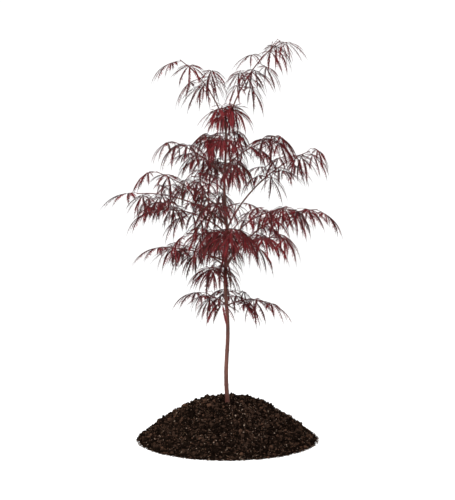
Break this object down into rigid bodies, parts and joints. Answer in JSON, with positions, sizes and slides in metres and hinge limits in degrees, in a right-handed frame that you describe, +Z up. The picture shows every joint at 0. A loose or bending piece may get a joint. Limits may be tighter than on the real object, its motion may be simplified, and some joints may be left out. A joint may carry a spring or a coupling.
{
  "type": "laceleaf japanese maple tree in a mound of soil",
  "caption": "Young cut-leaf Japanese maple: one slender stem with bare boughs, drooping tiers of deep red lacy leaves, and a heaped mound of dark soil with a flat underside.",
  "frame": {"origin": "centre of the soil mound's flat underside, below the foot of the stem", "axes": "+Z up along the stem; the tree is seen from -Y, with +X to the right"},
  "size_m": [0.734, 0.5712, 1.1996],
  "materials": {
    "bark": "satin",
    "foliage": "satin",
    "soil": "matte"
  },
  "bodies": {
    "root": {"soil_mound": "soil", "trunk": "bark", "bough_top_left": "bark", "foliage_top_left": "foliage", "bough_top_right": "bark", "foliage_top_right": "foliage", "foliage_crown_cap": "foliage", "foliage_crown_front": "foliage", "bough_crown_back": "bark", "foliage_crown_back": "foliage", "foliage_crown_left": "foliage", "foliage_crown_right": "foliage", "bough_upper_right": "bark", "foliage_upper_right": "foliage", "bough_upper_left": "bark", "foliage_upper_left": "foliage", "bough_upper_left_front": "bark", "foliage_upper_left_front": "foliage", "foliage_upper_front": "foliage", "bough_upper_back": "bark", "foliage_upper_back": "foliage", "bough_far_right": "bark", "foliage_far_right": "foliage", "foliage_middle_right": "foliage", "bough_middle_left_high": "bark", "foliage_middle_left_high": "foliage", "bough_middle_left_outer": "bark", "foliage_middle_left_outer": "foliage", "bough_middle_left_inner": "bark", "foliage_middle_left_inner": "foliage", "bough_middle_front": "bark", "foliage_middle_front": "foliage", "bough_middle_back": "bark", "foliage_middle_back": "foliage", "bough_lower_left_outer": "bark", "foliage_lower_left_outer": "foliage", "bough_lower_left_front": "bark", "foliage_lower_left_front": "foliage", "bough_lower_front": "bark", "foliage_lower_front": "foliage", "bough_lower_right_inner": "bark", "foliage_lower_right_inner": "foliage", "bough_lower_right_outer": "bark", "foliage_lower_right_outer": "foliage", "bough_lower_back": "bark", "foliage_lower_back": "foliage", "bough_lower_back_left": "bark", "foliage_lower_back_left": "foliage", "bough_lower_back_right": "bark", "foliage_lower_back_right": "foliage", "foliage_low_front_left": "foliage", "bough_low_front_right": "bark", "foliage_low_front_right": "foliage", "bough_bottom_left": "bark", "foliage_bottom_left": "foliage", "bough_bottom_right": "bark", "foliage_bottom_right": "foliage", "foliage_bottom_front": "foliage", "bough_bottom_back": "bark", "foliage_bottom_back": "foliage"}
  },
  "joints": []
}
